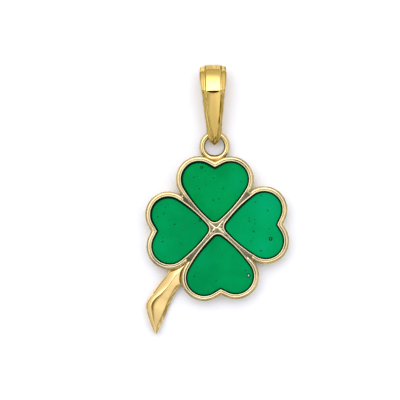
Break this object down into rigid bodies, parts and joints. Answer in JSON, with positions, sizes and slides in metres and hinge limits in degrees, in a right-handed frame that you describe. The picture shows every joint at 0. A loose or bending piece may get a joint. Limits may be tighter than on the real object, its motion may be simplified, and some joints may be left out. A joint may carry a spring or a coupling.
{
  "type": "four leaf clover pendant",
  "caption": "Clover pendant with heart-shaped leaves of green enamel in a polished gold frame, a curved stalk, a hanging ring and a tapered bail.",
  "frame": {"origin": "centre of the clover, where the four leaf tips meet, on the flat back of the frame", "axes": "+Y towards the ring and the bail, +Z out of the front face, +X to the right as seen from the front"},
  "size_m": [0.0123, 0.0227, 0.0032],
  "materials": {
    "gold": "polished yellow gold",
    "enamel": "glossy translucent green enamel"
  },
  "bodies": {
    "root": {"clover_frame": "gold", "enamel_top": "enamel", "enamel_right": "enamel", "enamel_bottom": "enamel", "enamel_left": "enamel", "bail": "gold"}
  },
  "joints": []
}
